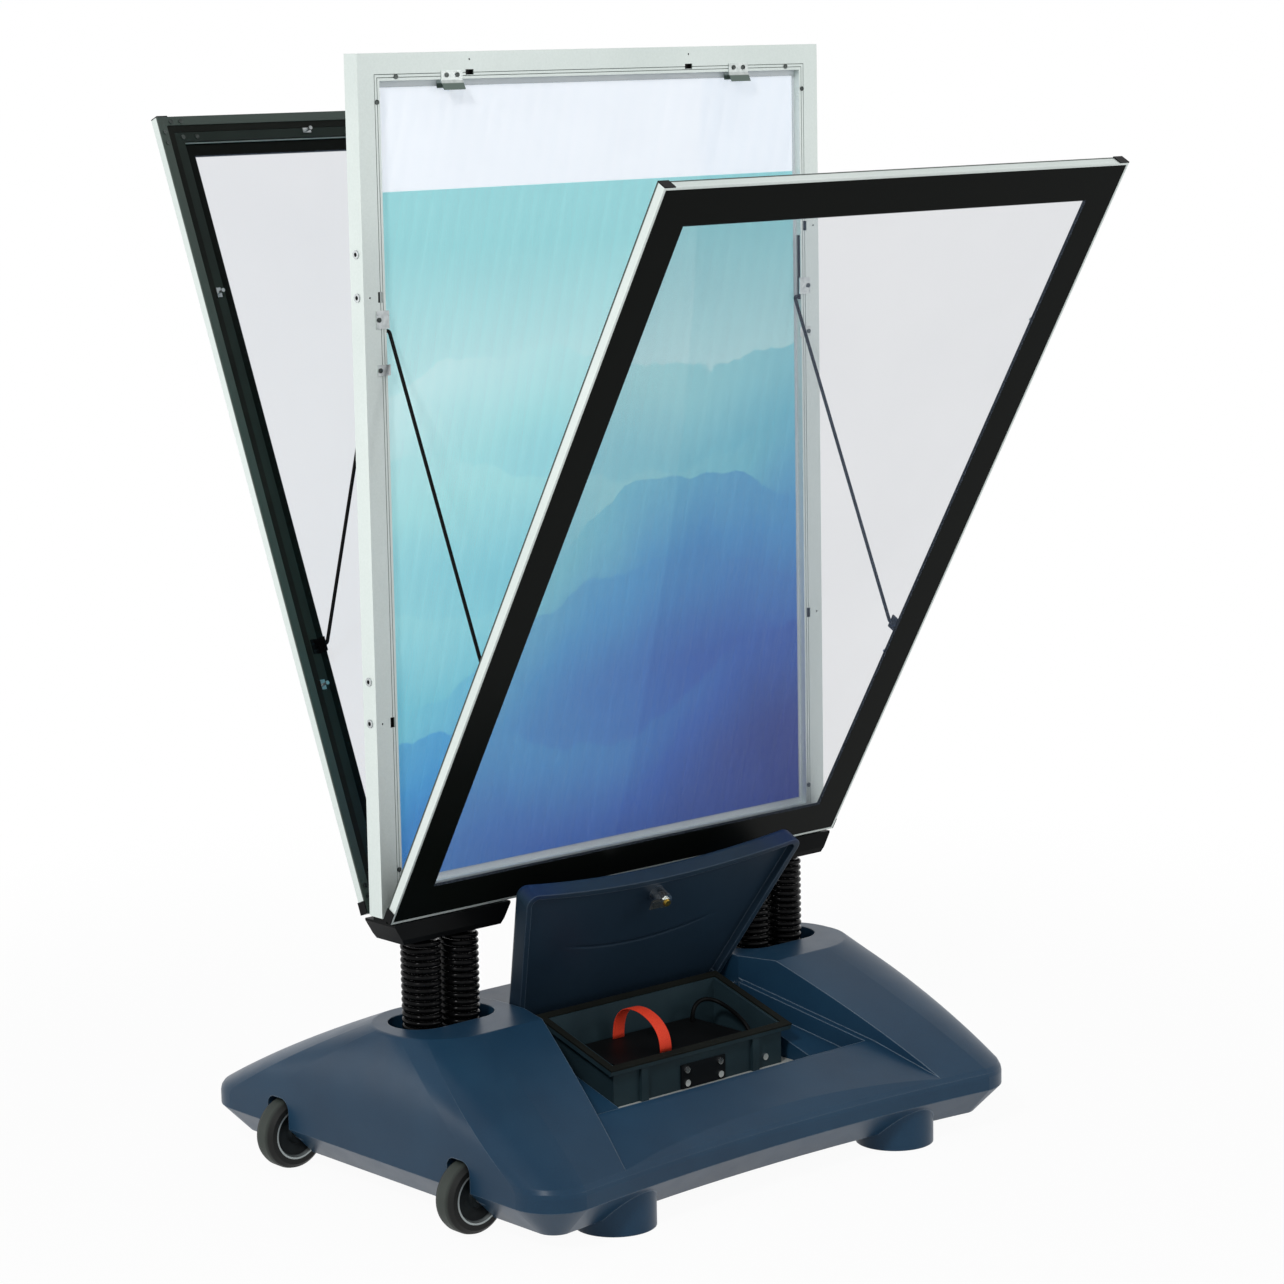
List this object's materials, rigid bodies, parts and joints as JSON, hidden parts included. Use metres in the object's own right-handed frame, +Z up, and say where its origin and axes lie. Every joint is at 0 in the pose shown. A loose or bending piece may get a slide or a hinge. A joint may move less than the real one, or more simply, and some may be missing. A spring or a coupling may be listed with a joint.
{
  "type": "illuminated pavement sign",
  "caption": "Upright double-sided poster sign with glazed bottom-hinged doors, standing on paired springs in a wheeled, water-fillable base with a lidded battery box.",
  "frame": {"origin": "on the ground under the middle of the base, in the plane of the four foot pads", "axes": "+Z up, -Y towards the front (the battery-box side), -X towards the wheeled end"},
  "size_m": [0.7316, 0.8477, 1.224],
  "materials": {
    "silver": "satin anodised",
    "bright_steel": "zinc plated",
    "catch_steel": "zinc plated",
    "clear_pane": "clear",
    "clear_film": "clear",
    "poster_paper": "matte print",
    "guide_white": "frosted",
    "lamp_white": "glossy",
    "seal_rubber": "matte",
    "black_plastic": "satin",
    "black_steel": "gloss black",
    "slate_shell": "satin moulded",
    "box_slate": "matte moulded",
    "tray_grey": "satin",
    "battery_black": "matte",
    "strap_red": "woven",
    "cable_black": "satin",
    "catch_black": "satin black",
    "lock_chrome": "polished",
    "cam_brass": "plain",
    "tyre_black": "matte",
    "hub_grey": "satin"
  },
  "bodies": {
    "base": {"base_shell": "slate_shell", "filler_cap": "slate_shell", "wheel_axles": "bright_steel", "battery_box": "box_slate", "box_tray": "tray_grey", "box_seal": "seal_rubber", "lid_catch": "catch_black", "box_screws": "bright_steel", "battery": "battery_black", "battery_strap": "strap_red", "battery_cable": "cable_black", "cable_gland": "black_plastic", "spring_anchors": "black_steel", "anchor_bolts": "black_steel", "springs": "black_steel", "lid_hinge_pins": "bright_steel"},
    "panel": {"saddles": "black_plastic", "saddle_bolts": "black_steel", "frame_bottom_rail": "silver", "frame_left_stile": "silver", "frame_right_stile": "silver", "frame_top_rail": "silver", "corner_cleats": "bright_steel", "frame_screws": "bright_steel", "light_guide": "guide_white", "led_strips": "lamp_white", "poster_front": "poster_paper", "poster_rear": "poster_paper", "cover_sheets": "clear_film", "poster_clips": "bright_steel", "stay_keepers": "bright_steel", "catch_eyelets": "catch_steel", "hinge_frame_leaves": "bright_steel"},
    "front_door": {"front_door_rails": "silver", "front_door_pane": "clear_pane", "front_door_seal": "seal_rubber", "front_door_retainers": "black_plastic", "front_door_caps": "black_plastic", "front_door_catches": "catch_steel", "front_door_hinge_leaves": "bright_steel", "front_door_screws": "bright_steel", "front_stay_brackets": "bright_steel"},
    "rear_door": {"rear_door_rails": "silver", "rear_door_pane": "clear_pane", "rear_door_seal": "seal_rubber", "rear_door_retainers": "black_plastic", "rear_door_caps": "black_plastic", "rear_door_catches": "catch_steel", "rear_door_hinge_leaves": "bright_steel", "rear_door_screws": "bright_steel", "rear_stay_brackets": "bright_steel"},
    "front_stays": {"front_stays": "black_steel"},
    "rear_stays": {"rear_stays": "black_steel"},
    "lid": {"lid": "slate_shell", "lock_barrel": "lock_chrome"},
    "lock_cam": {"lock_cam": "cam_brass"},
    "front_wheel": {"front_wheel_tyre": "tyre_black", "front_wheel_hub": "hub_grey"},
    "rear_wheel": {"rear_wheel_tyre": "tyre_black", "rear_wheel_hub": "hub_grey"}
  },
  "joints": [
    {"name": "panel_sway", "type": "hinge", "parent": "base", "child": "panel", "pos_m": [0, 0, 0.23], "axis": [1, 0, 0], "range_deg": [-10, 10], "stiffness_Nm_per_rad": 500, "deforming": ["springs"]},
    {"name": "front_door_hinge", "type": "hinge", "parent": "panel", "child": "front_door", "pos_m": [0, -0.0135, 0.3113], "axis": [1, 0, 0], "range_deg": [-30, 0]},
    {"name": "rear_door_hinge", "type": "hinge", "parent": "panel", "child": "rear_door", "pos_m": [0, 0.0135, 0.3113], "axis": [1, 0, 0], "range_deg": [0, 22]},
    {"name": "front_stay_pivot", "type": "hinge", "parent": "front_door", "child": "front_stays", "pos_m": [0, -0.15728, 0.57354], "axis": [1, 0, 0], "range_deg": [0, 52.57]},
    {"name": "rear_stay_pivot", "type": "hinge", "parent": "rear_door", "child": "rear_stays", "pos_m": [0, 0.11939, 0.591], "axis": [1, 0, 0], "range_deg": [-38.78, 0]},
    {"name": "lid_hinge", "type": "hinge", "parent": "base", "child": "lid", "pos_m": [0, -0.0277, 0.1506], "axis": [1, 0, 0], "range_deg": [0, 79.5], "deforming": ["battery_strap"]},
    {"name": "lock_turn", "type": "hinge", "parent": "lid", "child": "lock_cam", "pos_m": [0.003, -0.09255, 0.28708], "axis": [0, 0.887, 0.4617], "range_deg": [-90, 0]},
    {"name": "front_wheel_spin", "type": "hinge", "parent": "base", "child": "front_wheel", "pos_m": [-0.337, -0.159, 0.0415], "axis": [0, 1, 0], "continuous": true},
    {"name": "rear_wheel_spin", "type": "hinge", "parent": "base", "child": "rear_wheel", "pos_m": [-0.337, 0.159, 0.0415], "axis": [0, 1, 0], "continuous": true}
  ],
  "couplings": [
    {"joint": "front_stay_pivot", "follows": "front_door_hinge", "ratio": -1.7458},
    {"joint": "rear_stay_pivot", "follows": "rear_door_hinge", "ratio": -1.7535}
  ]
}
